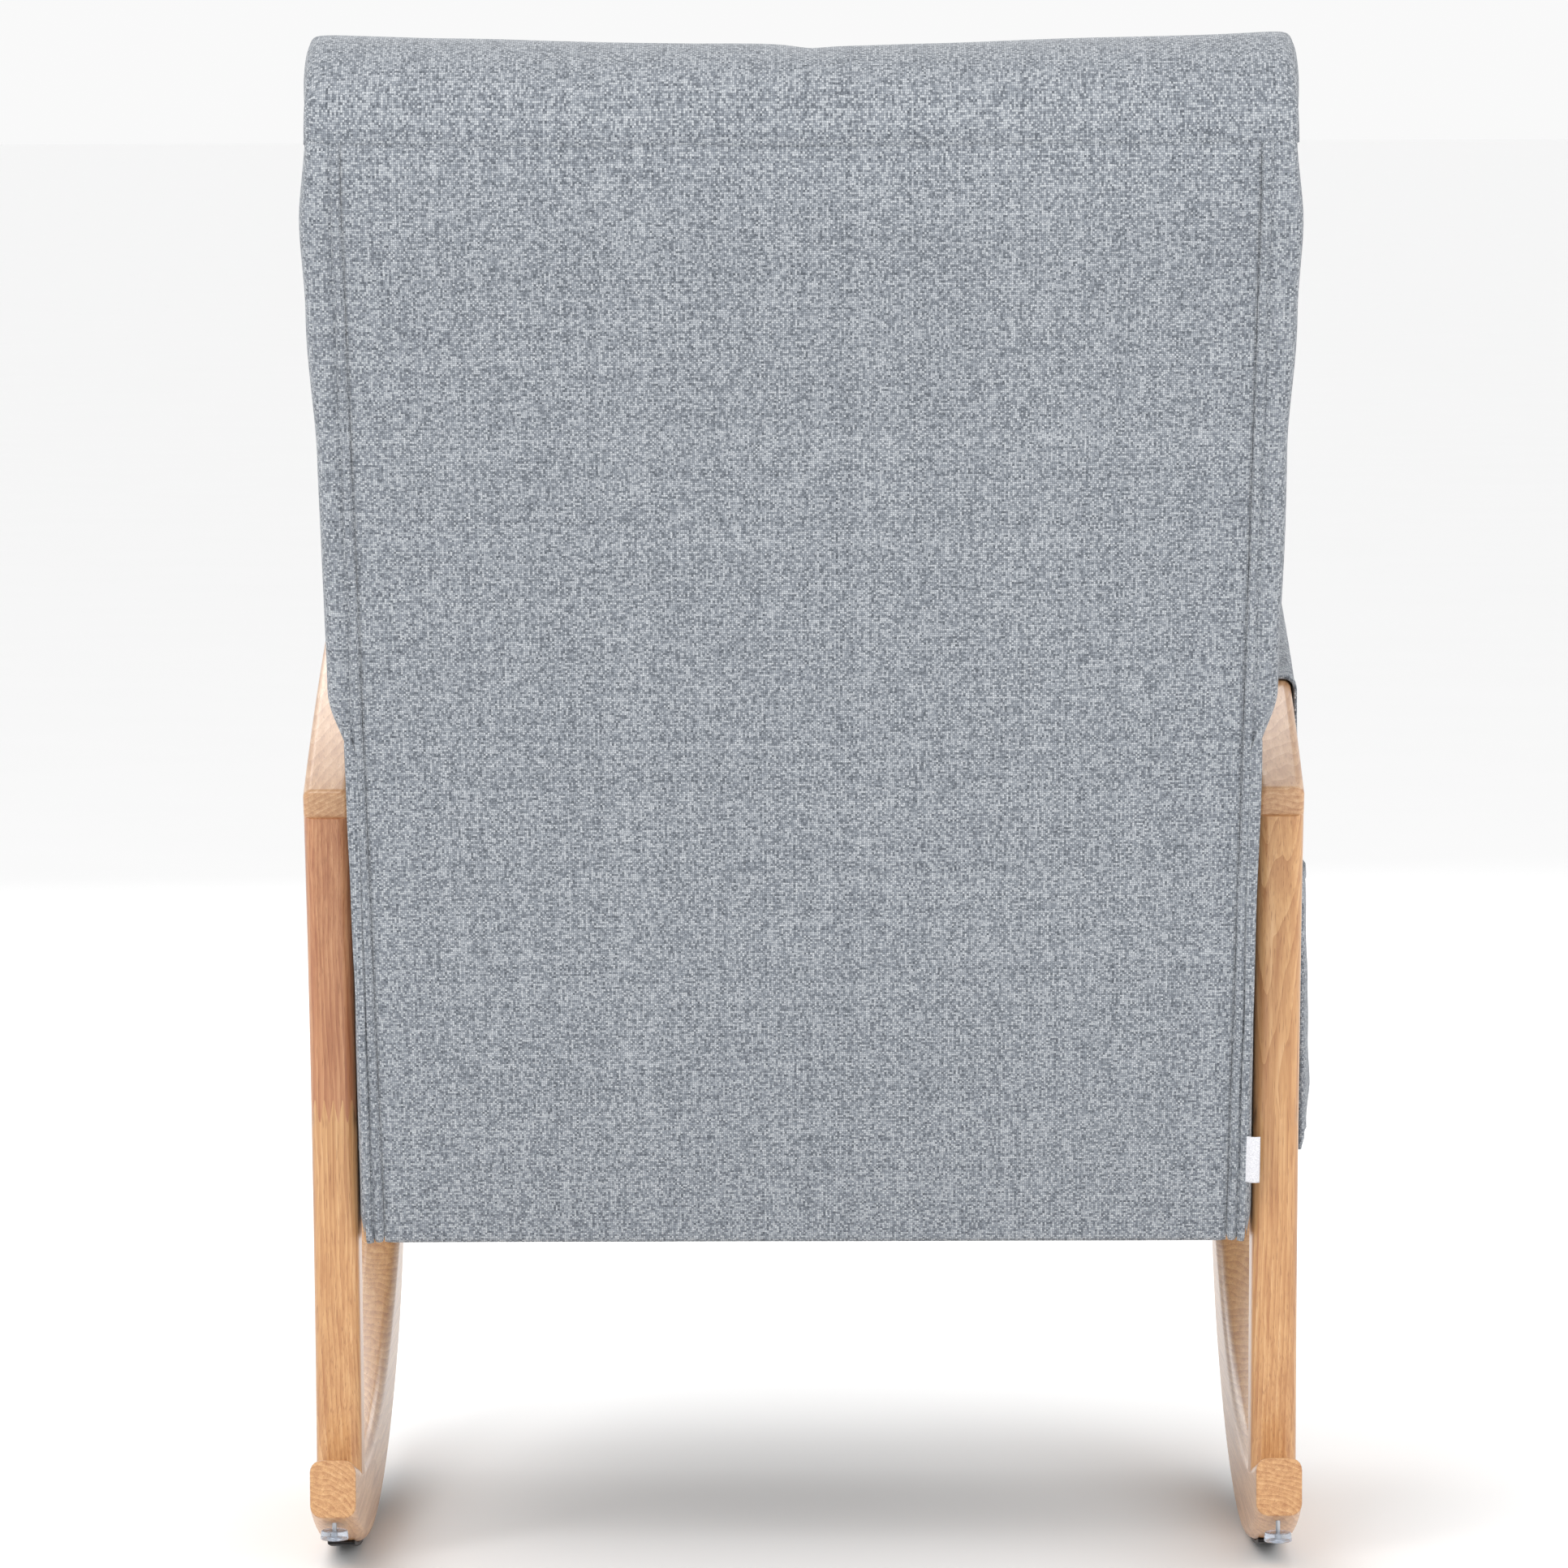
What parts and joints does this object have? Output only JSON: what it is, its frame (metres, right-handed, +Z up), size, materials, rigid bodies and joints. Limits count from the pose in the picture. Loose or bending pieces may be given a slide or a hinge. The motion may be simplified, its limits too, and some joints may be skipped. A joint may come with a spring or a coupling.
{
  "type": "rocking chair",
  "caption": "Upholstered high-back rocking chair with curved wooden rockers and arms, a padded seat, a pillow headrest and a cloth pocket over one arm.",
  "frame": {"origin": "the point on the floor midway between the two places where the rockers touch it at rest", "axes": "+Z up, the chair faces -Y, +X towards the sitter's left"},
  "size_m": [0.6855, 0.8882, 1.0406],
  "materials": {
    "frame_wood": "satin",
    "inner_wood": "matte",
    "dowel_wood": "matte",
    "tread_rubber": "matte",
    "clear_plastic": "gloss",
    "steel": "satin",
    "brass": "satin",
    "upholstery": "matte",
    "webbing": "matte",
    "deck_felt": "matte",
    "dust_cloth": "matte",
    "tag_cloth": "matte"
  },
  "bodies": {
    "chair": {"left_rocker": "frame_wood", "right_rocker": "frame_wood", "left_front_leg": "frame_wood", "right_front_leg": "frame_wood", "left_rear_post_lower": "frame_wood", "right_rear_post_lower": "frame_wood", "left_rear_post_upper": "frame_wood", "right_rear_post_upper": "frame_wood", "left_armrest": "frame_wood", "right_armrest": "frame_wood", "frame_dowels": "dowel_wood", "left_tread": "tread_rubber", "right_tread": "tread_rubber", "left_glide": "clear_plastic", "right_glide": "clear_plastic", "glide_pins": "steel", "left_seat_rail": "inner_wood", "right_seat_rail": "inner_wood", "seat_front_rail": "inner_wood", "seat_rear_rail": "inner_wood", "seat_corner_blocks": "inner_wood", "seat_webbing": "webbing", "seat_deck_pad": "deck_felt", "seat_cushion": "upholstery", "seat_border": "upholstery", "seat_dust_cover": "dust_cloth", "back_left_stile": "inner_wood", "back_right_stile": "inner_wood", "back_bottom_rail": "inner_wood", "back_mid_rail": "inner_wood", "back_top_rail": "inner_wood", "back_webbing": "webbing", "back_deck_pad": "deck_felt", "back_cushion": "upholstery", "headrest_cushion": "upholstery", "back_rear_panel": "upholstery", "back_left_boxing": "upholstery", "back_right_boxing": "upholstery", "side_tag": "tag_cloth", "seat_wedges": "inner_wood", "wedge_screws": "steel", "seat_bolts": "steel", "back_bolts": "steel", "threaded_inserts": "brass"},
    "pocket": {"pocket_saddle": "upholstery", "pocket_pouch": "upholstery"}
  },
  "joints": [
    {"name": "pocket_lift", "type": "slide", "parent": "chair", "child": "pocket", "axis": [0, 0, 1], "range_m": [0, 0.35]}
  ]
}
